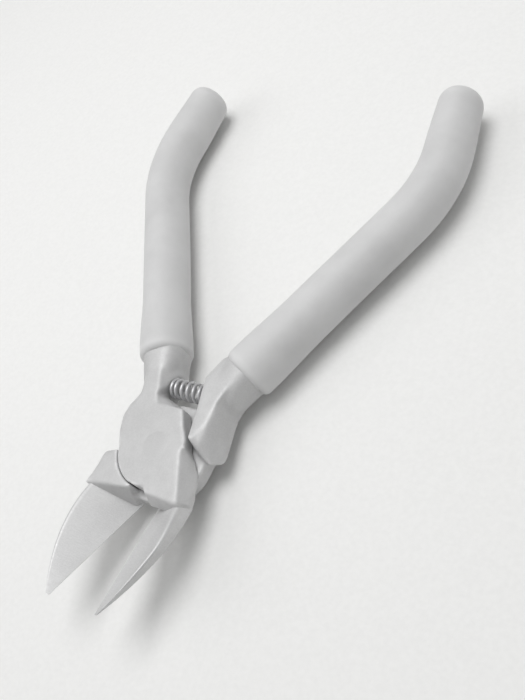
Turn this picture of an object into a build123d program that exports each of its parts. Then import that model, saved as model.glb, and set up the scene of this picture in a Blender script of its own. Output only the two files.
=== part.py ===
from build123d import *
import math
import os

# Flush cut pliers with a lap joint, a coil return spring and dipped grips.
# Millimetres. The origin is on the pivot axis at the head's back face: +Z points
# to the front face, +Y to the grips, -Y to the jaws. The front lever has the
# left grip and the right jaw; the rear lever has the right grip and the left jaw.
# Everything is drawn at rest, with the jaws open.

# Head
HEAD_T = 9.0            # full thickness of the head
MID_Z = HEAD_T / 2      # plane where the two lap plates meet
LAP_GAP = 0.10          # running gap between the lap plates
OPEN_HALF = 10.0        # each jaw stands this many degrees off the centre line
FRONT_LAP_R = 10.4      # front lap plate's radius where the rear lever's jaw block runs round it
REAR_LAP_R = 12.4       # rear lap plate's radius where the front lever's blade runs round it
WAIST_R = 8.0           # lap plate radius where the other neck runs round it
RUN_GAP = 0.25          # gap between a lap plate's rim and the other lever
FRONT_RIM_Y = 10.3      # upper edge of the front lap plate
REAR_RIM_Y = 12.4       # upper edge of the rear lap plate
RIM_LEAN = 0.52         # how fast a plate narrows upward, to clear the other neck

# Pivot rivet, ground flush at both faces
RIVET_R = 2.6
RIVET_HEAD_R = 4.0
RIVET_HEAD_T = 1.4
RIVET_FIT = 0.05        # radial clearance in the front lever
RIVET_INSET = 0.05      # the front head stops this far inside the front face

# Blades: the flush side is ground at an angle, so the tips lie in front of the head
BLADE_ROOT = 13.0       # distance from the pivot to the shoulder
BLADE_TIP = 40.3        # distance from the pivot to the tip
BLADE_ROOT_W = 11.8
BLADE_TIP_W = 0.7
BLADE_BULGE = 2.2       # outward crown of the outer edge
EDGE_ROOT_Z = 0.9       # cutting edge height at the shoulder
EDGE_TIP_Z = 12.4       # cutting edge height at the tip
SPINE_ROOT_Z = 8.1      # outer front corner height at the shoulder
SPINE_TIP_Z = 12.95
SPINE_BULGE = 1.5
SIDE_ROOT_T = 4.1       # height of the outer side face at the shoulder
SIDE_TIP_T = 0.35
SIDE_BULGE = 1.4
EDGE_LAND = 0.15        # tiny flat on the cutting edge
EDGE_GAP = 0.04         # each cutting edge stays this far off the centre when closed
BLADE_STATIONS = 7
BLADE_EMBED = 3.2       # how far the blade root runs back inside its jaw block

# Grips
COLLAR_X = 12.3
COLLAR_Y = 22.9
GRIP_Z = 3.75           # height of the grip's centre line
GRIP_HEADING = 28.1    # degrees outward from +Y at the collar
GRIP_END_HEADING = -6.3
GRIP_STRAIGHT = 53.5
GRIP_ARC = 21.5
GRIP_END = 17.0
GRIP_DEPTH_RATIO = 1.09
COLLAR_HALF = 6.8
GRIP_HALF_MID = 6.3
GRIP_HALF_BEND = 6.15
GRIP_HALF_END = 5.7
COLLAR_LENGTH = 18.0
COLLAR_ROUND = 1.1
GRIP_END_ROUND = 3.0

# Tangs inside the grips
TANG_W = 6.4
TANG_T = 4.2
TANG_START = -4.0       # begins inside the neck, before the collar
TANG_END = 6.0          # length of the last straight run

# Neck width at the collar, measured from the grip's centre line
NECK_INNER = 4.9
NECK_OUTER = 3.4

# Return spring between the necks
SPRING_Y = 16.0
SEAT_X = 5.6
SEAT_R = 3.1
SPRING_R = 2.2          # mean coil radius
SPRING_WIRE = 0.7
SPRING_TURNS = 6.5
SPRING_END_GAP = 0.08
POST_R = 1.5
POST_OUT = 1.7
POST_IN = 2.2


def polar(radius, degrees):
    return (radius * math.cos(math.radians(degrees)), radius * math.sin(math.radians(degrees)))


def rim_arc(radius, start, end):
    """Arc of a circle round the pivot, from one angle to another."""
    return ThreePointArc(polar(radius, start), polar(radius, (start + end) / 2), polar(radius, end))


def prism(edges, bottom, top):
    face = make_face(edges)
    return extrude(Plane.XY.offset(bottom) * face, amount=top - bottom, dir=(0, 0, 1))


def disc(radius, bottom, top):
    return Pos(0, 0, bottom) * extrude(Circle(radius), amount=top - bottom)


def lap_plate(radius, rim, bottom, top):
    """Lap plate with its own neck on the left and its own jaw block on the right."""
    bay_end = 270.0 + OPEN_HALF + 0.3
    bay_start = 197.0
    waist_top = 46.5
    waist_low = 11.0
    rim_end = 3.0 - RIM_LEAN * (rim - FRONT_RIM_Y)
    jaw_side = Polyline(
        polar(WAIST_R, waist_low), (13.5, -4.3), (13.4, -11.6), (2.15, -11.3), polar(radius, bay_end)
    )
    neck_side = Polyline(
        polar(radius, bay_start),
        (-12.3, 1.0),
        (-13.3, 4.5),
        (-13.1, 7.5),
        (-11.0, 12.0),
        (-5.3, 12.0),
        (-5.3, rim),
        (rim_end, rim),
        polar(WAIST_R, waist_top),
    )
    outline = rim_arc(WAIST_R, waist_top, waist_low) + jaw_side + rim_arc(radius, bay_end, bay_start) + neck_side
    return prism(outline.edges(), bottom, top)


def neck():
    """Right neck, full thickness, with an outer flank that widens to the back."""
    heading = math.radians(GRIP_HEADING)
    inner = (COLLAR_X - NECK_INNER * math.cos(heading), COLLAR_Y + NECK_INNER * math.sin(heading))
    outer = (COLLAR_X + NECK_OUTER * math.cos(heading), COLLAR_Y - NECK_OUTER * math.sin(heading))
    inner_side = [inner, (5.0, 19.0), (6.5, 11.0), (7.5, 3.5)]
    back = inner_side + [(14.6, 2.8), (12.9, 9.5), (13.7, 15.0), outer]
    front = inner_side + [(8.9, 3.6), (10.6, 8.0), (11.4, 13.0), (13.6, 21.5)]
    low = make_face(Polyline(*back, close=True).edges())
    high = Plane.XY.offset(HEAD_T) * make_face(Polyline(*front, close=True).edges())
    return loft([low, high], ruled=True)


def left_jaw_block():
    """Full thickness block above the left blade; the front plate's rim runs round it."""
    bay = FRONT_LAP_R + RUN_GAP
    start = 270.0 - OPEN_HALF - 0.3
    end = 198.0
    outline = rim_arc(bay, start, end) + Polyline(
        polar(bay, end), (-13.7, -4.6), (-14.5, -12.8), (-2.3, -11.3), polar(bay, start)
    )
    return prism(outline.edges(), 0, HEAD_T)


def blade_section(share):
    """Blade cross-section in the closed pose, cutting edge on the left, at x = 0."""
    part = max(share, 0.0)
    crown = 4 * part * (1 - part)
    width = BLADE_ROOT_W + (BLADE_TIP_W - BLADE_ROOT_W) * part + BLADE_BULGE * crown
    edge_z = EDGE_ROOT_Z + (EDGE_TIP_Z - EDGE_ROOT_Z) * part
    spine_z = SPINE_ROOT_Z + (SPINE_TIP_Z - SPINE_ROOT_Z) * part + SPINE_BULGE * crown
    side = SIDE_ROOT_T + (SIDE_TIP_T - SIDE_ROOT_T) * part + SIDE_BULGE * crown
    distance = BLADE_ROOT + (BLADE_TIP - BLADE_ROOT) * share
    points = [
        (EDGE_GAP, edge_z),
        (EDGE_GAP + width / 2, edge_z),
        (EDGE_GAP + width, spine_z - side),
        (EDGE_GAP + width, spine_z),
        (EDGE_GAP, edge_z + EDGE_LAND),
    ]
    plane = Plane(origin=(0, -distance, 0), x_dir=(1, 0, 0), z_dir=(0, -1, 0))
    return plane * make_face(Polyline(*points, close=True).edges())


def blade():
    """Right blade, turned from the closed pose to rest."""
    shares = [index / (BLADE_STATIONS - 1) for index in range(BLADE_STATIONS)]
    crowned = loft([blade_section(share) for share in shares])
    root = extrude(blade_section(0.0), amount=BLADE_EMBED, dir=(0, 1, 0))
    return Rot(0, 0, OPEN_HALF) * (crowned + root)


def grip_point(distance):
    """Centre line of the right grip: point and heading at a distance from the collar."""
    heading = math.radians(GRIP_HEADING)
    first = min(distance, GRIP_STRAIGHT)
    x = COLLAR_X + first * math.sin(heading)
    y = COLLAR_Y + first * math.cos(heading)
    if distance <= GRIP_STRAIGHT:
        return x, y, heading
    radius = GRIP_ARC / math.radians(GRIP_HEADING - GRIP_END_HEADING)
    along = min(distance - GRIP_STRAIGHT, GRIP_ARC)
    turned = heading - along / radius
    x += radius * (math.cos(turned) - math.cos(heading))
    y += radius * (math.sin(heading) - math.sin(turned))
    last = max(distance - GRIP_STRAIGHT - GRIP_ARC, 0.0)
    return x + last * math.sin(turned), y + last * math.cos(turned), turned


def grip_plane(distance, z):
    x, y, heading = grip_point(distance)
    return Plane(
        origin=(x, y, z),
        x_dir=(math.cos(heading), -math.sin(heading), 0),
        z_dir=(math.sin(heading), math.cos(heading), 0),
    )


def tang():
    """Bar inside the right grip: two straight runs joined by a tangent arc."""
    bend_start = GRIP_STRAIGHT
    bend_end = GRIP_STRAIGHT + GRIP_ARC
    places = [TANG_START, bend_start, (bend_start + bend_end) / 2, bend_end, bend_end + TANG_END]
    points = [(*grip_point(place)[:2], MID_Z) for place in places]
    path = Wire([
        Line(points[0], points[1]).edge(),
        ThreePointArc(points[1], points[2], points[3]).edge(),
        Line(points[3], points[4]).edge(),
    ])
    return sweep(grip_plane(TANG_START, MID_Z) * Rectangle(TANG_W, TANG_T), path=path)


def grip_ring(distance, half):
    return grip_plane(distance, GRIP_Z) * Ellipse(half, half * GRIP_DEPTH_RATIO)


def grip_run(start, start_half, end, end_half):
    """Straight tapered stretch of the right grip."""
    return loft([grip_ring(start, start_half), grip_ring(end, end_half)], ruled=True)


def grip_bend():
    """Bend of the right grip, of constant section."""
    bend_end = GRIP_STRAIGHT + GRIP_ARC
    places = [GRIP_STRAIGHT, GRIP_STRAIGHT + GRIP_ARC / 2, bend_end]
    points = [(*grip_point(place)[:2], GRIP_Z) for place in places]
    return sweep(grip_ring(GRIP_STRAIGHT, GRIP_HALF_BEND), path=ThreePointArc(*points))


def closed_edges(solid):
    """The rings round the grip, from the collar to the end."""
    return solid.edges().filter_by(lambda edge: edge.is_closed).sort_by(lambda edge: edge.center().Y)


def grip_body():
    """Outer shape of the right grip, with a swollen rounded collar."""
    bend_end = GRIP_STRAIGHT + GRIP_ARC
    collar = grip_run(0.0, COLLAR_HALF, COLLAR_LENGTH, GRIP_HALF_MID)
    collar = fillet(closed_edges(collar)[0], COLLAR_ROUND)
    shank = grip_run(COLLAR_LENGTH, GRIP_HALF_MID, GRIP_STRAIGHT, GRIP_HALF_BEND)
    end = grip_run(bend_end, GRIP_HALF_BEND, bend_end + GRIP_END, GRIP_HALF_END)
    end = fillet(closed_edges(end)[-1], GRIP_END_ROUND)
    return collar + shank + grip_bend() + end


def mirrored(solid):
    return mirror(solid, about=Plane.YZ)


def spring_seat(side):
    """Spot face on a neck's inner wall, where the spring's end rests."""
    depth = 6.0
    centre = side * (SEAT_X - depth / 2)
    return Pos(centre, SPRING_Y, MID_Z) * Rot(0, 90, 0) * Cylinder(SEAT_R, depth)


def spring_post(side):
    length = POST_IN + POST_OUT
    centre = side * (SEAT_X + POST_IN - length / 2)
    post = Pos(centre, SPRING_Y, MID_Z) * Rot(0, 90, 0) * Cylinder(POST_R, length)
    return chamfer(post.edges().sort_by(Axis.X)[-1 if side < 0 else 0], 0.3)


def rivet_shape(extra):
    """Countersunk rivet; extra widens it into the hole it runs in."""
    low = -extra
    high = HEAD_T - RIVET_INSET + extra
    profile = Polyline(
        (0, low),
        (RIVET_HEAD_R + extra, low),
        (RIVET_R + extra, low + RIVET_HEAD_T),
        (RIVET_R + extra, high - RIVET_HEAD_T),
        (RIVET_HEAD_R + extra, high),
        (0, high),
        close=True,
    )
    face = Plane.XZ * make_face(profile.edges())
    return revolve(face, axis=Axis.Z)


def return_spring():
    """Compression coil along X, between the two seats."""
    length = 2 * (SEAT_X - SPRING_END_GAP) - SPRING_WIRE
    path = Helix(pitch=length / SPRING_TURNS, height=length, radius=SPRING_R)
    start = path @ 0
    ring = Plane(origin=start, z_dir=path % 0) * Circle(SPRING_WIRE / 2)
    coil = sweep(ring, path=path)
    return Pos(-length / 2, SPRING_Y, MID_Z) * Rot(0, 90, 0) * coil


def front_lever():
    """Left neck and tang, front lap plate and right blade."""
    bottom = MID_Z + LAP_GAP / 2
    body = lap_plate(FRONT_LAP_R, FRONT_RIM_Y, bottom, HEAD_T) + mirrored(neck())
    sweep_zone = disc(REAR_LAP_R + RUN_GAP, -1, bottom)
    body += blade() - sweep_zone
    body += mirrored(tang())
    body -= spring_seat(-1)
    body -= rivet_shape(RIVET_FIT)
    return body


def rear_lever():
    """Right neck and tang, rear lap plate and left blade."""
    top = MID_Z - LAP_GAP / 2
    body = mirrored(lap_plate(REAR_LAP_R, REAR_RIM_Y, 0, top)) + neck() + left_jaw_block()
    sweep_zone = disc(FRONT_LAP_R + RUN_GAP, top, HEAD_T + 1)
    body += mirrored(blade()) - sweep_zone
    body += tang()
    body -= spring_seat(1)
    body -= rivet_shape(0.0)
    return body


def main():
    os.makedirs("parts", exist_ok=True)
    front = front_lever()
    rear = rear_lever()
    front_post = spring_post(-1)
    rear_post = spring_post(1)
    nodes = {
        "front_lever": front - front_post,
        "rear_lever": rear - rear_post,
        "left_grip": mirrored(grip_body() - tang()),
        "right_grip": grip_body() - tang(),
        "pivot_rivet": rivet_shape(0.0),
        "front_spring_post": front_post,
        "rear_spring_post": rear_post,
        "return_spring": return_spring(),
    }
    for name, solid in nodes.items():
        export_step(solid, f"parts/{name}.step")


main()
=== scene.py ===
import math

import bmesh
import bpy
import numpy as np
from mathutils import Matrix, Vector, noise


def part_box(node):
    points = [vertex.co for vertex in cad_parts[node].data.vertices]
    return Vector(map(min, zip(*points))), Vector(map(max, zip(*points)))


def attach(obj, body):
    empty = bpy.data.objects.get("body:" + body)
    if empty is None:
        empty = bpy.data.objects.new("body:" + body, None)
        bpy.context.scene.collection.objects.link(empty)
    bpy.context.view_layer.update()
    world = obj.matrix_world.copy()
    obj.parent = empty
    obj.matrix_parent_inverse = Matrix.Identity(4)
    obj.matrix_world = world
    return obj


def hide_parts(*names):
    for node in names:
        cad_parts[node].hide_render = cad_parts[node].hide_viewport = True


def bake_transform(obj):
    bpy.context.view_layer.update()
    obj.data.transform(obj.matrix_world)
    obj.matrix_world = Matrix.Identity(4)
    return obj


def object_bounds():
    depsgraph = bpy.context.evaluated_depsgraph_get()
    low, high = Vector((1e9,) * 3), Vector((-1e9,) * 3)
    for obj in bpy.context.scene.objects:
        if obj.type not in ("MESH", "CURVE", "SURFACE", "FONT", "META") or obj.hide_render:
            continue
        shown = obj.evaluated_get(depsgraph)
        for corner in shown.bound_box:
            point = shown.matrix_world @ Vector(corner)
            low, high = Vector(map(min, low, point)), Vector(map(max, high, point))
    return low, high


# Looks of the flush cut pliers. Metres, in the CAD's frame: the pivot axis is Z,
# the grips lie towards +Y, the jaws towards -Y, and the head's back face is z = 0.
# Shapes of the head are written in millimetres and scaled by MM when they are built.
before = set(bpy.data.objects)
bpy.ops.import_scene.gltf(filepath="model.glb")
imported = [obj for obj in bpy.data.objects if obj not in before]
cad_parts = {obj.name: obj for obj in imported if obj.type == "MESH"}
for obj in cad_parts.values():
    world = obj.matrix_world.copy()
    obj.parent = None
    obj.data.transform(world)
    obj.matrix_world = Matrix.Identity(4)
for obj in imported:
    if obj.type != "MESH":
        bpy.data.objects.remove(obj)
cad_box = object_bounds()

MM = 0.001
FRONT = "front_half"
REAR = "rear_half"
LEFT_SIDE = -1
RIGHT_SIDE = 1

# Head, in mm
HEAD_T = 9.0
FACE_Z = 8.95           # just inside the front face
LAP_Z = 4.65            # just in front of the lap plane
BACK_Z = 0.3            # just inside the back face
FRONT_PLATE = (4.56, 8.99)  # back and front of each lap plate at the rivet's hole
REAR_PLATE = (0.01, 4.44)

# Grip centre line, as in the CAD
COLLAR_X = 12.3 * MM
COLLAR_Y = 22.9 * MM
GRIP_Z = 3.75 * MM
GRIP_HEADING = math.radians(28.1)
GRIP_END_HEADING = math.radians(-6.3)
GRIP_STRAIGHT = 53.5 * MM
GRIP_ARC = 21.5 * MM
GRIP_END = 17.0 * MM
GRIP_LENGTH = GRIP_STRAIGHT + GRIP_ARC + GRIP_END

# Grip section
GRIP_HALF = 6.76        # half width at the collar, in mm
GRIP_TAPER = (          # half width lost, in mm, between two distances along the grip
    (0.51, 3 * MM, 20 * MM),
    (0.1, 30 * MM, GRIP_STRAIGHT),
    (0.45, GRIP_STRAIGHT + GRIP_ARC, GRIP_LENGTH),
)
GRIP_DEPTH_RATIO = 1.08
GRIP_AROUND = 96
GRIP_STATIONS = 110
COLLAR_ROUND = 1.9 * MM
COLLAR_STEPS = 8
END_ROUND = 3.0 * MM
END_STEPS = 12
DIP_SCALE = 45.0        # unevenness of the dipped skin: waves per metre
DIP_HEIGHT = 0.1 * MM
DIP_SEED = (3.1, 0.7, 1.9)
DIP_SHIFT = 0.4         # turns the unevenness mostly inward

# Softening of the forged levers
VOXEL = 0.30 * MM
ROUNDING_STEPS = 22
WELD_DISTANCE = 1e-6
SEAM_R = 10.5           # in mm: the lap plate's rim beside the left jaw block stays crisp
SEAM_W = 1.1
SEAM_HOLD = 0.8
SEAM_TOP = 2.5 * MM
WEAR_FULL = 0.12        # in mm: a point this proud of its surroundings is fully worn
WEAR_REACH = 10         # smoothing steps that make the surroundings
WEAR_PULL = 0.6
WEAR_SOFTEN = 3         # smoothing steps for the wear itself

# Neck swell, in mm: distance from the collar along the grip, inner and outer half width, half depth
NECK_SWELL = (
    (3.0, 6.0, 5.3, 6.2),
    (-0.5, 5.9, 5.2, 5.9),
    (-3.5, 5.1, 5.4, 5.5),
    (-6.5, 3.6, 5.6, 4.8),
    (-10.0, 1.9, 4.6, 3.9),
)
SWELL_POINTS = 48
SWELL_POWER = 0.8       # under 1 makes the section boxy

# Front lap plate's rim beside the left jaw block, whose bay has a radius of 10.65 mm
RIM_ARC_R = 10.54
RIM_ARC_START = math.radians(184.0)
RIM_ARC_END = math.radians(254.0)
RIM_ARC_STEPS = 48

# Rivet, in mm
RIVET_HEAD = 4.0
RIVET_RISE = 0.05       # height of its domes over the faces
RIVET_RIM_SINK = 0.06   # how far a dome's rim lies below the face
RIVET_SINK = 0.35       # depth of the head's straight rim
RIVET_RIM_R = 3.9       # radius behind the rim, where the head starts to narrow
RIVET_WAIST = 2.6
RIVET_HEAD_T = 1.4
RIVET_RADII = (1.0, 2.0, 3.0, 3.5, RIVET_HEAD)
RIVET_AROUND = 96
PLUG_R = 4.4
PLUG_AROUND = 64

# Blades, in mm, close to the CAD's; three numbers are a root value, a tip value and a crown
OPEN_HALF = math.radians(10.0)
BLADE_ROOT = 13.0
BLADE_TIP = 40.25
BLADE_START = 12.7      # stays clear of the rear lap plate's rim
BLADE_WIDTH = (11.9, 0.8, 2.7)
BLADE_EDGE = (0.9, 12.4, 0.0)
BLADE_SPINE = (8.1, 12.9, 1.5)
BLADE_SIDE = (4.1, 0.35, 1.4)
BLADE_STATIONS = 90
EDGE_GAP = 0.04
EDGE_LAND = 0.12
BELLY_ROUND = 1.2
FULL_ROUND_WIDTH = 4.0  # a narrower blade has a smaller belly rounding
BACK_ROUND = 0.25       # outer corners' rounding, as a share of the outer side's height
SPINE_ROUND = 0.42
SHARP_ANGLE = math.radians(40)
RIGHT_LEAN = 2.0        # how far the right blade's outer side leans in at its root
LEAN_START = -0.02
LEAN_END = 0.45         # share of the blade over which the lean dies out
BLADE_CUT_ACROSS = (-0.3, 20.0)
BLADE_CUT_ALONG = (BLADE_ROOT, 45.0)
BLADE_CUT_Z = (-3.0, 16.0)

# Spring
SPRING_TURNS = 6.5
SPRING_WIRE_R = 0.42 * MM
SPRING_R = 2.2 * MM         # mean radius of the coil
SPRING_END_TURN = 0.9       # closed turns at each end
SPRING_STEPS = 40           # stations in one turn
SPRING_AROUND = 14

# Stage, light and camera
FLOOR_HALF = 1.5
FLOOR_GAP = 0.1 * MM
WORLD_STRENGTH = 0.36
LIGHT_TARGET = Vector((0.0, 0.02, 0.0))
LIGHTS = (              # name, place, diameter and power in watts
    ("key", (-0.02, 0.15, 0.60), 0.42, 2.2),
    ("fill", (-0.42, -0.15, 0.42), 0.50, 0.8),
    ("right", (0.50, 0.25, 0.35), 0.50, 0.1),
)
CAMERA_PLACE = Vector((133.11, -36.29, 170.73)) * MM
CAMERA_BACK = Vector((0.55293, -0.30974, 0.77352))
CAMERA_ROLL = math.radians(-43.26)
CAMERA_LENS = 46.3
CAMERA_SENSOR = 36.0


# ---------------------------------------------------------------- helpers
def new_object(name, mesh):
    obj = bpy.data.objects.new(name, mesh)
    bpy.context.scene.collection.objects.link(obj)
    return obj


def finished(obj, mat, node, body):
    """Gives a piece its material and its body, and hides the CAD node it stands for."""
    obj.data.materials.append(mat)
    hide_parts(node)
    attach(obj, body)


def shade_smooth(mesh):
    mesh.polygons.foreach_set("use_smooth", [True] * len(mesh.polygons))


def middle(ring):
    return sum(ring, Vector()) / len(ring)


def turned_outward(mesh):
    """Makes every face of a closed mesh point outwards."""
    work = bmesh.new()
    work.from_mesh(mesh)
    bmesh.ops.recalc_face_normals(work, faces=work.faces)
    work.to_mesh(mesh)
    work.free()
    mesh.update()


def mesh_from_grid(name, rings, cap_start, cap_end):
    """Tube mesh from equal rings of points, with an end point closing each end."""
    count = len(rings[0])
    points = [p for ring in rings for p in ring]
    first_cap = len(points)
    points += [cap_start, cap_end]
    faces = []
    for r in range(len(rings) - 1):
        low, high = r * count, (r + 1) * count
        for i in range(count):
            j = (i + 1) % count
            faces.append((low + i, low + j, high + j, high + i))
    last_ring = (len(rings) - 1) * count
    for i in range(count):
        j = (i + 1) % count
        faces.append((first_cap, j, i))
        faces.append((first_cap + 1, last_ring + i, last_ring + j))
    mesh = bpy.data.meshes.new(name)
    mesh.from_pydata([tuple(p) for p in points], [], faces)
    turned_outward(mesh)
    shade_smooth(mesh)
    return mesh


def smooth_step(value, start, end):
    share = min(max((value - start) / (end - start), 0.0), 1.0)
    return share * share * (3 - 2 * share)


# ---------------------------------------------------------------- materials
def grey(value):
    return value, value, value


def scaled(colour, factor):
    return tuple(min(1.0, channel * factor) for channel in colour)


class Shader:
    """One node material, with short ways to add the nodes it needs."""

    def __init__(self, name):
        self.mat = bpy.data.materials.new(name)
        self.mat.use_nodes = True
        self.nodes = self.mat.node_tree.nodes
        self.links = self.mat.node_tree.links
        self.inputs = self.nodes["Principled BSDF"].inputs
        self.coord = self.nodes.new("ShaderNodeTexCoord").outputs["Object"]

    def link(self, value, socket):
        self.links.new(value, self.inputs[socket])

    def noise(self, scale, detail, rough, stretch=None):
        tex = self.nodes.new("ShaderNodeTexNoise")
        tex.inputs["Scale"].default_value = scale
        tex.inputs["Detail"].default_value = detail
        tex.inputs["Roughness"].default_value = rough
        source = self.coord
        if stretch is not None:
            mapping = self.nodes.new("ShaderNodeMapping")
            mapping.inputs["Scale"].default_value = stretch
            self.links.new(self.coord, mapping.inputs["Vector"])
            source = mapping.outputs["Vector"]
        self.links.new(source, tex.inputs["Vector"])
        return tex.outputs["Fac"]

    def wear(self):
        """How proud each point stands, as store_wear keeps it on the mesh."""
        node = self.nodes.new("ShaderNodeAttribute")
        node.attribute_name = "edge_wear"
        return node.outputs["Fac"]

    def remap(self, value, low, high, out_low, out_high):
        node = self.nodes.new("ShaderNodeMapRange")
        node.inputs["From Min"].default_value = low
        node.inputs["From Max"].default_value = high
        node.inputs["To Min"].default_value = out_low
        node.inputs["To Max"].default_value = out_high
        self.links.new(value, node.inputs["Value"])
        return node.outputs["Result"]

    def mix(self, factor, first, second):
        node = self.nodes.new("ShaderNodeMix")
        node.data_type = "RGBA"
        self.links.new(factor, node.inputs["Factor"])
        for socket, colour in ((node.inputs["A"], first), (node.inputs["B"], second)):
            if isinstance(colour, tuple):
                socket.default_value = (*colour, 1.0)
            else:
                self.links.new(colour, socket)
        return node.outputs["Result"]

    def math(self, operation, first, second):
        node = self.nodes.new("ShaderNodeMath")
        node.operation = operation
        self.links.new(first, node.inputs[0])
        self.links.new(second, node.inputs[1])
        return node.outputs["Value"]

    def bump(self, height, distance, strength, normal=None):
        node = self.nodes.new("ShaderNodeBump")
        node.inputs["Distance"].default_value = distance
        node.inputs["Strength"].default_value = strength
        self.links.new(height, node.inputs["Height"])
        if normal is not None:
            self.links.new(normal, node.inputs["Normal"])
        return node.outputs["Normal"]


def steel(name, base, dark, roughness, grain_scale, grind, depth, metal=0.3):
    """Blasted and lightly ground tool steel: fine grain, soft stains, brighter worn edges."""
    s = Shader(name)
    stain = s.noise(scale=110.0, detail=3.0, rough=0.5)
    grain = s.noise(scale=grain_scale, detail=3.0, rough=0.6)
    lines = s.noise(scale=1.0, detail=2.0, rough=0.5, stretch=grind)
    chips = s.noise(scale=420.0, detail=3.0, rough=0.6)
    rubbed = s.math("MULTIPLY", s.wear(), s.remap(chips, 0.3, 0.7, 0.4, 1.1))
    worn = s.remap(rubbed, 0.25, 0.9, 0.0, 1.0)
    body = s.mix(s.remap(stain, 0.35, 0.65, 0.0, 1.0), dark, base)
    ground = s.mix(s.remap(lines, 0.4, 0.7, 0.0, 0.5), body, dark)
    speck = s.mix(s.remap(grain, 0.42, 0.62, 0.0, 0.4), ground, scaled(base, 1.08))
    s.link(s.mix(worn, speck, scaled(base, 1.2)), "Base Color")
    patch = s.remap(stain, 0.3, 0.7, *roughness)
    scratch = s.remap(lines, 0.3, 0.7, -0.06, 0.06)
    s.link(s.math("ADD", patch, scratch), "Roughness")
    s.inputs["Metallic"].default_value = metal
    fine = s.bump(grain, distance=0.03 * MM, strength=0.5)
    s.link(s.bump(lines, distance=depth * MM, strength=0.6, normal=fine), "Normal")
    return s.mat


def vinyl(name, base, dark):
    """Dipped vinyl: matte, fine orange peel, faint rubbed patches and paler proud edges."""
    s = Shader(name)
    cloud = s.noise(scale=70.0, detail=4.0, rough=0.6)
    peel = s.noise(scale=1300.0, detail=2.0, rough=0.5)
    dust = s.noise(scale=3500.0, detail=2.0, rough=0.6)
    rubbed = s.remap(s.math("MULTIPLY", s.wear(), cloud), 0.1, 0.5, 0.0, 0.6)
    colour = s.mix(s.remap(cloud, 0.35, 0.65, 0.0, 1.0), dark, base)
    colour = s.mix(s.remap(dust, 0.5, 0.75, 0.0, 0.4), colour, dark)
    s.link(s.mix(rubbed, colour, scaled(base, 1.1)), "Base Color")
    s.link(s.remap(cloud, 0.3, 0.7, 0.50, 0.66), "Roughness")
    s.inputs["Specular IOR Level"].default_value = 0.4
    s.inputs["Sheen Weight"].default_value = 0.08
    s.inputs["Sheen Roughness"].default_value = 0.5
    fine = s.bump(peel, distance=0.07 * MM, strength=0.5)
    s.link(s.bump(dust, distance=0.03 * MM, strength=0.4, normal=fine), "Normal")
    return s.mat


def paper(name, first, second):
    """Plain pale floor with a faint fibre."""
    s = Shader(name)
    fibre = s.noise(scale=900.0, detail=3.0, rough=0.5)
    s.link(s.mix(s.remap(fibre, 0.3, 0.7, 0.0, 1.0), first, second), "Base Color")
    s.inputs["Roughness"].default_value = 0.9
    return s.mat


# base and dark colour, roughness range, grain and grinding scales, grinding depth in mm
STEEL = steel(
    "lever_steel", grey(0.585), grey(0.535),
    roughness=(0.50, 0.62), grain_scale=2600.0, grind=(500, 500, 500), depth=0.02,
)
BLADE = steel(
    "blade_steel", grey(0.64), grey(0.57),
    roughness=(0.40, 0.50), grain_scale=3000.0, grind=(250, 3200, 900), depth=0.03,
)
RIVET = steel(
    "rivet_steel", grey(0.565), grey(0.52),
    roughness=(0.42, 0.50), grain_scale=3200.0, grind=(2500, 300, 300), depth=0.02,
)
WIRE = steel(
    "spring_wire", (0.60, 0.60, 0.61), (0.54, 0.54, 0.55),
    roughness=(0.30, 0.40), grain_scale=3000.0, grind=(300, 300, 300), depth=0.02, metal=0.6,
)
VINYL = vinyl("grip_vinyl", grey(0.64), grey(0.59))


# ---------------------------------------------------------------- mesh work
def welded_copy(node, name):
    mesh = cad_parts[node].data.copy()
    mesh.name = name
    work = bmesh.new()
    work.from_mesh(mesh)
    bmesh.ops.remove_doubles(work, verts=work.verts, dist=WELD_DISTANCE)
    work.to_mesh(mesh)
    work.free()
    mesh.materials.clear()
    return mesh


def remeshed(mesh, name, voxel):
    """One closed skin round everything in the mesh."""
    obj = new_object(name, mesh)
    modifier = obj.modifiers.new("voxels", "REMESH")
    modifier.mode = "VOXEL"
    modifier.voxel_size = voxel
    graph = bpy.context.evaluated_depsgraph_get()
    fine = bpy.data.meshes.new_from_object(obj.evaluated_get(graph))
    obj.modifiers.clear()
    obj.data = fine
    fine.name = name
    return obj


def joined(first, others):
    work = bmesh.new()
    for mesh in (first, *others):
        work.from_mesh(mesh)
    work.to_mesh(first)
    work.free()
    first.update()


def carved(mesh, name, cutter):
    """The mesh with the cutter's volume taken away."""
    obj = new_object(name, mesh)
    tool = new_object(name + "_cutter", cutter)
    modifier = obj.modifiers.new("carve", "BOOLEAN")
    modifier.operation = "DIFFERENCE"
    modifier.solver = "EXACT"
    modifier.object = tool
    graph = bpy.context.evaluated_depsgraph_get()
    result = bpy.data.meshes.new_from_object(obj.evaluated_get(graph))
    bpy.data.objects.remove(obj)
    bpy.data.objects.remove(tool)
    return result


def mesh_arrays(mesh):
    points = np.zeros(len(mesh.vertices) * 3)
    mesh.vertices.foreach_get("co", points)
    edges = np.zeros(len(mesh.edges) * 2, dtype=np.int64)
    mesh.edges.foreach_get("vertices", edges)
    return points.reshape(-1, 3), edges.reshape(-1, 2)


def smoothed(points, edges, steps, weight, pull=0.5):
    """Laplacian smoothing of the points along the mesh's edges."""
    count = np.zeros(len(points))
    np.add.at(count, edges[:, 0], 1)
    np.add.at(count, edges[:, 1], 1)
    count = count[:, None]
    amount = (pull * weight)[:, None]
    for _ in range(steps):
        total = np.zeros_like(points)
        np.add.at(total, edges[:, 0], points[edges[:, 1]])
        np.add.at(total, edges[:, 1], points[edges[:, 0]])
        points = points + amount * (total / count - points)
    return points


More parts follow.
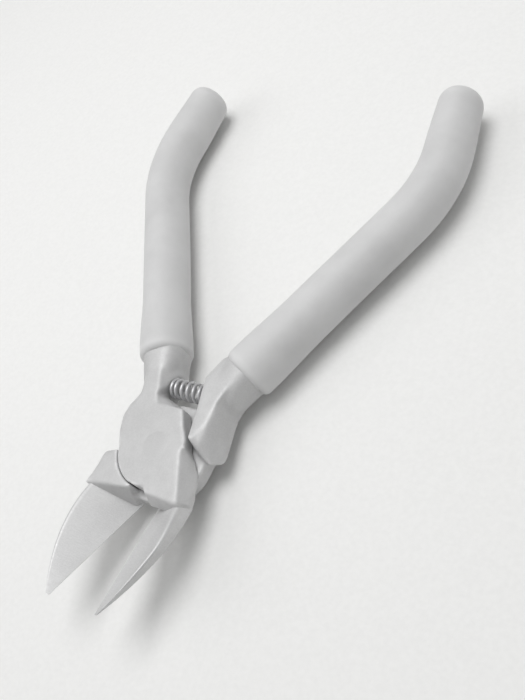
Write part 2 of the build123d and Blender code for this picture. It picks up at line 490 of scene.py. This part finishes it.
def store_wear(mesh, points, edges):
    """Keeps how much each point stands proud of its surroundings, for the worn edges."""
    normals = np.zeros(len(points) * 3)
    mesh.vertices.foreach_get("normal", normals)
    normals = normals.reshape(-1, 3)
    everywhere = np.ones(len(points))
    broad = smoothed(points, edges, WEAR_REACH, everywhere, WEAR_PULL)
    proud = np.sum((points - broad) * normals, axis=1) / MM
    proud = smoothed(np.repeat(proud[:, None], 3, axis=1), edges, WEAR_SOFTEN, everywhere)[:, 0]
    layer = mesh.attributes.new("edge_wear", "FLOAT", "POINT")
    layer.data.foreach_set("value", np.clip(proud / WEAR_FULL, 0.0, 1.0))


def hull(points):
    """Closed mesh round a set of points given in millimetres."""
    work = bmesh.new()
    for point in points:
        work.verts.new(Vector(point) * MM)
    bmesh.ops.convex_hull(work, input=work.verts)
    loose = [v for v in work.verts if not v.link_faces]
    bmesh.ops.delete(work, geom=loose, context="VERTS")
    bmesh.ops.recalc_face_normals(work, faces=work.faces)
    mesh = bpy.data.meshes.new("hull")
    work.to_mesh(mesh)
    work.free()
    return mesh


def flipped(points, side):
    return [(side * x, y, z) for x, y, z in points]


def lathe(name, profile, around):
    """Closed solid of revolution about the pivot from (radius, z) points in millimetres."""
    rings = []
    for radius, z in profile[1:-1]:
        ring = []
        for step in range(around):
            turn = 2 * math.pi * step / around
            ring.append(Vector((radius * math.cos(turn), radius * math.sin(turn), z)) * MM)
        rings.append(ring)
    start, end = (Vector((0, 0, profile[i][1])) * MM for i in (0, -1))
    return mesh_from_grid(name, rings, start, end)


# ---------------------------------------------------------------- levers
def boxy(value):
    return math.copysign(abs(value) ** SWELL_POWER, value)


def neck_swell(side):
    """Swelling of a neck towards its grip, down to the neck's own width."""
    along_x, along_y = math.sin(GRIP_HEADING), math.cos(GRIP_HEADING)
    rings = []
    for distance, inner, outer, deep in NECK_SWELL:
        x = COLLAR_X / MM + distance * along_x
        y = COLLAR_Y / MM + distance * along_y
        ring = []
        for step in range(SWELL_POINTS):
            turn = 2 * math.pi * step / SWELL_POINTS
            across = boxy(math.cos(turn)) * (outer if math.cos(turn) > 0 else inner)
            up = boxy(math.sin(turn)) * deep
            point = (side * (x + across * along_y), y - across * along_x, GRIP_Z / MM + up)
            ring.append(Vector(point) * MM)
        rings.append(ring)
    return mesh_from_grid("neck_swell", rings, middle(rings[0]), middle(rings[-1]))


def inner_chamfer(side):
    """Cutter for the slope on a neck's inner front edge; it runs out at the lap plate's rim."""
    ridge_low = Vector((5.35, 10.9, HEAD_T))
    ridge_high = Vector((11.8, 27.5, HEAD_T))
    slope = Vector((-3.52, 0.64, -4.64))
    lift = Vector((0, 0, 4))
    points = []
    for corner in (ridge_low, ridge_high):
        points += [corner, corner + lift, corner + slope]
        points.append(corner + slope + lift - Vector((0, 0, slope.z)))
    return hull(flipped([tuple(p) for p in points], side))


def block_chamfer():
    """Cutter for the slanted outer face of the right jaw block."""
    front_edge = (Vector((7.0, 0.8, HEAD_T)), Vector((12.9, -12.9, HEAD_T)))
    slope = Vector((3.2, 0.9, -4.35))
    outward = Vector((7, 2, 0))
    lift = Vector((0, 0, 3))
    drop = Vector((0, 0, slope.z))
    points = []
    for corner in front_edge:
        points += [corner, corner + slope, corner + lift]
        points += [corner + outward + lift, corner + outward + drop]
    return hull([tuple(p) for p in points])


def along_jaw(across, distance):
    """Point of the right jaw at rest, from its distances to the cutting edge's line and the pivot."""
    x = across * math.cos(OPEN_HALF) + distance * math.sin(OPEN_HALF)
    y = across * math.sin(OPEN_HALF) - distance * math.cos(OPEN_HALF)
    return x, y


def blade_cutter(side):
    """Takes the CAD blade off its lever; a finer blade goes on in its place."""
    points = []
    for across in BLADE_CUT_ACROSS:
        for distance in BLADE_CUT_ALONG:
            points += [(*along_jaw(across, distance), z) for z in BLADE_CUT_Z]
    return hull(flipped(points, side))


def shoulder_lip():
    """Rounded lower end of the right neck, which overhangs the rear lap plate."""
    front = [(7.75, 3.5, 8.8), (10.6, 2.8, 8.2), (11.2, 8.0, 8.85), (11.6, 13.0, 8.85), (8.2, 13.0, 8.85)]
    flank = [(9.6, 1.5, 5.2), (13.9, -0.5, 4.8), (15.4, 1.0, 2.4), (14.8, 2.8, 3.0)]
    back = [(x, y, BACK_Z) for x, y in ((9.0, 3.2), (14.6, 2.2), (13.2, 9.5), (13.2, 14.0))]
    return hull(front + flank + back)


def rim_web():
    """Rounded upper rim of the front lap plate, running into the left neck's inner corner."""
    base = 4.7
    crest = [(-5.8, 9.0, 8.9), (-5.8, 12.4, 7.6), (-1.5, 10.2, 8.6), (0.8, 10.2, 7.9)]
    foot = [(-5.8, 13.2), (-3.0, 12.3), (0.6, 11.2), (-5.8, 8.0), (0.8, 8.0)]
    return hull(crest + [(x, y, base) for x, y in foot])


def rim_arc():
    """Lower left rim of the front lap plate, brought close to the left jaw block's bay."""
    low, high = 4.7, 8.96
    outline = [(0.0, 0.0)]
    for step in range(RIM_ARC_STEPS + 1):
        turn = RIM_ARC_START + (RIM_ARC_END - RIM_ARC_START) * step / RIM_ARC_STEPS
        outline.append((RIM_ARC_R * math.cos(turn), RIM_ARC_R * math.sin(turn)))
    return hull([(x, y, z) for x, y in outline for z in (low, high)])


def right_step():
    """Lower end of the right jaw block, sloping back to the blade."""
    face = [(2.6, -11.3), (12.2, -11.8), (2.6, -9.5), (10.8, -8.0)]
    lap = [(2.5, -13.5), (13.4, -13.2), (4.0, -9.5), (13.5, -8.0)]
    return hull([(x, y, FACE_Z) for x, y in face] + [(x, y, LAP_Z) for x, y in lap])


def left_step():
    """Lower end of the left jaw block, sloping back to the blade over the full thickness."""
    face = [(-2.6, -11.3), (-15.6, -13.2), (-3.2, -10.7), (-13.8, -8.0)]
    back = [(-2.7, -14.4, BACK_Z), (-13.8, -14.2, 1.5), (-3.2, -10.9, 0.4), (-13.4, -8.0, 0.4)]
    return hull([(x, y, FACE_Z) for x, y in face] + back)


def hole_fill(plate):
    """Plug that closes the rivet's hole in a lap plate before the edges are softened."""
    low, high = plate
    return lathe("plug", [(0, low), (PLUG_R, low), (PLUG_R, high), (0, high)], PLUG_AROUND)


def forged(node, name, body, neck_side, extra, cutters=()):
    """The lever's CAD shape with a forging's swells and softened edges."""
    mesh = carved(welded_copy(node, name), name, blade_cutter(-neck_side))
    for cutter in cutters:
        mesh = carved(mesh, name, cutter)
    joined(mesh, [neck_swell(neck_side)] + extra)
    obj = remeshed(mesh, name, VOXEL)
    points, edges = mesh_arrays(obj.data)
    radius = np.hypot(points[:, 0], points[:, 1]) / MM
    seam = np.exp(-((radius - SEAM_R) / SEAM_W) ** 2)
    seam = seam * (points[:, 0] < 0) * (points[:, 1] < SEAM_TOP)
    points = smoothed(points, edges, ROUNDING_STEPS, 1.0 - SEAM_HOLD * seam)
    obj.data.vertices.foreach_set("co", points.ravel())
    obj.data.update()
    store_wear(obj.data, points, edges)
    shade_smooth(obj.data)
    finished(obj, STEEL, node, body)


# ---------------------------------------------------------------- blades and rivet
def along_blade(values, part):
    """A blade measure from its root value, tip value and crown."""
    root, tip, crown = values
    share = max(part, 0.0)
    return root + (tip - root) * share + crown * 4 * share * (1 - share)


def rounded_corner(before, corner, after, cut, steps):
    """Points that round a corner off, from one side to the other."""
    start = corner + (before - corner).normalized() * cut
    end = corner + (after - corner).normalized() * cut
    points = []
    for step in range(steps + 1):
        t = step / steps
        points.append(start * (1 - t) ** 2 + corner * 2 * t * (1 - t) + end * t ** 2)
    return points


def blade_ring(distance, side, lean):
    """Section of a blade at a distance from the pivot, from its cutting edge round to its land."""
    part = (distance - BLADE_ROOT) / (BLADE_TIP - BLADE_ROOT)
    lean = lean * (1 - smooth_step(part, LEAN_START, LEAN_END))
    width = along_blade(BLADE_WIDTH, part)
    edge = along_blade(BLADE_EDGE, part)
    spine = along_blade(BLADE_SPINE, part)
    deep = along_blade(BLADE_SIDE, part)
    edge_low = Vector((EDGE_GAP, edge))
    belly = Vector((EDGE_GAP + width / 2, edge))
    low = Vector((EDGE_GAP + width, spine - deep))
    high = Vector((EDGE_GAP + width - lean, spine))
    edge_high = Vector((EDGE_GAP, edge + EDGE_LAND))
    shrink = min(1.0, width / FULL_ROUND_WIDTH)
    outline = [edge_low]
    outline += rounded_corner(edge_low, belly, low, BELLY_ROUND * shrink, steps=6)
    outline += rounded_corner(belly, low, high, BACK_ROUND * deep, steps=8)
    outline += rounded_corner(low, high, edge_high, SPINE_ROUND * deep, steps=10)
    outline.append(edge_high)
    ring = []
    for across, z in outline:
        x, y = along_jaw(across, distance)
        ring.append(Vector((side * x, y, z)) * MM)
    return ring


def blade(node, name, side, body, lean):
    """Ground blade, with its cutting edge sharp and its outer corners rounded."""
    length = BLADE_TIP - BLADE_START
    rings = []
    for step in range(BLADE_STATIONS + 1):
        rings.append(blade_ring(BLADE_START + length * step / BLADE_STATIONS, side, lean))
    mesh = mesh_from_grid(name, rings, middle(rings[0]), middle(rings[-1]))
    work = bmesh.new()
    work.from_mesh(mesh)
    for edge in work.edges:
        if edge.is_manifold and edge.calc_face_angle() > SHARP_ANGLE:
            edge.smooth = False
    work.to_mesh(mesh)
    work.free()
    finished(new_object(name, mesh), BLADE, node, body)


def rivet():
    """Rivet ground flush: two very shallow domes whose rims sink into the levers' faces."""
    drops = [(RIVET_RISE + RIVET_RIM_SINK) * (r / RIVET_HEAD) ** 4 for r in RIVET_RADII]
    top = HEAD_T + RIVET_RISE
    profile = [(0.0, -RIVET_RISE)]
    profile += [(r, -RIVET_RISE + drop) for r, drop in zip(RIVET_RADII, drops)]
    profile += [(RIVET_RIM_R, RIVET_SINK), (RIVET_WAIST, RIVET_HEAD_T)]
    profile += [(RIVET_WAIST, HEAD_T - RIVET_HEAD_T), (RIVET_RIM_R, HEAD_T - RIVET_SINK)]
    profile += [(r, top - drop) for r, drop in reversed(list(zip(RIVET_RADII, drops)))]
    profile.append((0.0, top))
    mesh = lathe("pivot_rivet_ground", profile, RIVET_AROUND)
    finished(new_object("pivot_rivet_ground", mesh), RIVET, "pivot_rivet", REAR)


# ---------------------------------------------------------------- grips
def grip_point(distance):
    """Centre line of the right grip: point and heading at a distance from the collar."""
    first = min(distance, GRIP_STRAIGHT)
    x = COLLAR_X + first * math.sin(GRIP_HEADING)
    y = COLLAR_Y + first * math.cos(GRIP_HEADING)
    if distance <= GRIP_STRAIGHT:
        return x, y, GRIP_HEADING
    radius = GRIP_ARC / (GRIP_HEADING - GRIP_END_HEADING)
    turned = GRIP_HEADING - min(distance - GRIP_STRAIGHT, GRIP_ARC) / radius
    x += radius * (math.cos(turned) - math.cos(GRIP_HEADING))
    y += radius * (math.sin(GRIP_HEADING) - math.sin(turned))
    last = max(distance - GRIP_STRAIGHT - GRIP_ARC, 0.0)
    return x + last * math.sin(turned), y + last * math.cos(turned), turned


def grip_half(distance):
    """Half width of the grip along its length, before its rounded ends."""
    half = GRIP_HALF
    for loss, start, end in GRIP_TAPER:
        half -= loss * smooth_step(distance, start, end)
    return MM * half


def grip_rows():
    """Stations along a grip, each with how far its rounded end pulls the section in."""
    rows = []
    for step in range(COLLAR_STEPS, -1, -1):
        angle = math.pi / 2 * step / COLLAR_STEPS
        rows.append((COLLAR_ROUND * (1 - math.sin(angle)), COLLAR_ROUND * (1 - math.cos(angle))))
    length = GRIP_LENGTH - END_ROUND - COLLAR_ROUND
    for step in range(1, GRIP_STATIONS):
        rows.append((COLLAR_ROUND + length * step / GRIP_STATIONS, 0.0))
    for step in range(END_STEPS + 1):
        angle = math.pi / 2 * step / END_STEPS
        rows.append((GRIP_LENGTH - END_ROUND * (1 - math.sin(angle)), END_ROUND * (1 - math.cos(angle))))
    return rows


def grip_mesh(name, side):
    rings = []
    for place, inset in grip_rows():
        x, y, heading = grip_point(place)
        half = grip_half(place) - inset
        deep = grip_half(place) * GRIP_DEPTH_RATIO - inset
        ring = []
        for step in range(GRIP_AROUND):
            turn = 2 * math.pi * step / GRIP_AROUND
            across = half * math.cos(turn)
            px = x + across * math.cos(heading)
            py = y - across * math.sin(heading)
            ring.append(Vector((side * px, py, GRIP_Z + deep * math.sin(turn))))
        rings.append(ring)
    return mesh_from_grid(name, rings, middle(rings[0]), middle(rings[-1]))


def grip(node, name, side, body):
    """Dipped sleeve: smooth, slightly uneven and rounded at both ends."""
    mesh = grip_mesh(name, side)
    shift = Vector(DIP_SEED)
    shift.x *= side
    work = bmesh.new()
    work.from_mesh(mesh)
    for vertex in work.verts:
        swell = noise.noise(vertex.co * DIP_SCALE + shift)
        vertex.co += vertex.normal * (swell - DIP_SHIFT) * DIP_HEIGHT
    work.to_mesh(mesh)
    work.free()
    store_wear(mesh, *mesh_arrays(mesh))
    shade_smooth(mesh)
    finished(new_object(name, mesh), VINYL, node, body)


# ---------------------------------------------------------------- spring
def spring_along(turn, flat):
    """Share of the coil's length reached at a turn; the end turns lie closed."""
    lead = SPRING_TURNS - 2 * SPRING_END_TURN
    open_share = min(max((turn - SPRING_END_TURN) / lead, 0.0), 1.0)
    first = min(turn / SPRING_END_TURN, 1.0)
    last = min((SPRING_TURNS - turn) / SPRING_END_TURN, 1.0)
    return open_share * (1 - 2 * flat) + flat * (first + 1 - last)


def spring():
    """Coil between the necks, in the CAD spring's place; it belongs to neither lever's body."""
    low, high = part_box("return_spring")
    centre = Vector(((low.x + high.x) / 2, (low.y + high.y) / 2, (low.z + high.z) / 2))
    length = high.x - low.x - 2 * SPRING_WIRE_R
    pitch = length / (2 * math.pi * SPRING_TURNS)
    flat = 2 * SPRING_WIRE_R / length
    steps = int(SPRING_TURNS * SPRING_STEPS)
    rings = []
    for step in range(steps + 1):
        turn = step / steps * SPRING_TURNS
        angle = 2 * math.pi * turn
        radial = Vector((0, math.cos(angle), math.sin(angle)))
        place = (spring_along(turn, flat) - 0.5) * length
        point = centre + Vector((place, 0, 0)) + radial * SPRING_R
        tangent = Vector((pitch, -SPRING_R * math.sin(angle), SPRING_R * math.cos(angle)))
        side = tangent.normalized().cross(radial).normalized()
        ring = []
        for i in range(SPRING_AROUND):
            spin = 2 * math.pi * i / SPRING_AROUND
            ring.append(point + (radial * math.cos(spin) + side * math.sin(spin)) * SPRING_WIRE_R)
        rings.append(ring)
    mesh = mesh_from_grid("coil_spring", rings, middle(rings[0]), middle(rings[-1]))
    obj = new_object("coil_spring", mesh)
    mesh.materials.append(WIRE)
    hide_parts("return_spring")
    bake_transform(obj)


# ---------------------------------------------------------------- stage
def floor():
    level = cad_box[0].z - FLOOR_GAP
    corners = [(x * FLOOR_HALF, y * FLOOR_HALF, level) for x, y in ((-1, -1), (1, -1), (1, 1), (-1, 1))]
    mesh = bpy.data.meshes.new("floor")
    mesh.from_pydata(corners, [], [(0, 1, 2, 3)])
    mesh.materials.append(paper("floor_paper", (0.84, 0.84, 0.83), (0.87, 0.87, 0.86)))
    new_object("floor", mesh)


def studio():
    """Soft even light: a pale world, a large key overhead and two weak lights at the sides."""
    world = bpy.data.worlds.new("studio")
    world.use_nodes = True
    background = world.node_tree.nodes["Background"]
    background.inputs["Color"].default_value = (1.0, 1.0, 1.0, 1.0)
    background.inputs["Strength"].default_value = WORLD_STRENGTH
    bpy.context.scene.world = world
    for name, place, size, power in LIGHTS:
        light = bpy.data.lights.new(name, "AREA")
        light.shape = "DISK"
        light.size = size
        light.energy = power
        obj = new_object(name, light)
        obj.location = place
        obj.rotation_euler = (LIGHT_TARGET - Vector(place)).to_track_quat("-Z", "Y").to_euler()


def camera():
    """Stands above the right jaw and looks down at the head, rolled so that the jaws point down."""
    data = bpy.data.cameras.new("camera")
    data.lens = CAMERA_LENS
    data.sensor_width = CAMERA_SENSOR
    obj = new_object("camera", data)
    level = CAMERA_BACK.to_track_quat("Z", "Y").to_matrix().to_4x4()
    roll = Matrix.Rotation(CAMERA_ROLL, 4, "Z")
    obj.matrix_world = Matrix.Translation(CAMERA_PLACE) @ level @ roll
    bpy.context.scene.camera = obj


# ---------------------------------------------------------------- the pliers
forged(
    "front_lever", "front_lever_forging", FRONT, LEFT_SIDE,
    [hole_fill(FRONT_PLATE), right_step(), rim_web(), rim_arc()],
    [inner_chamfer(LEFT_SIDE), block_chamfer()],
)
forged(
    "rear_lever", "rear_lever_forging", REAR, RIGHT_SIDE,
    [hole_fill(REAR_PLATE), left_step(), shoulder_lip()],
)
blade("front_lever", "right_blade_ground", RIGHT_SIDE, FRONT, RIGHT_LEAN)
blade("rear_lever", "left_blade_ground", LEFT_SIDE, REAR, 0.0)
rivet()
grip("left_grip", "left_grip_sleeve", LEFT_SIDE, FRONT)
grip("right_grip", "right_grip_sleeve", RIGHT_SIDE, REAR)
spring()
for post in ("front_spring_post", "rear_spring_post"):
    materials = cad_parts[post].data.materials
    materials.clear()
    materials.append(RIVET)
floor()
studio()
camera()
bpy.context.scene.view_settings.view_transform = "Standard"
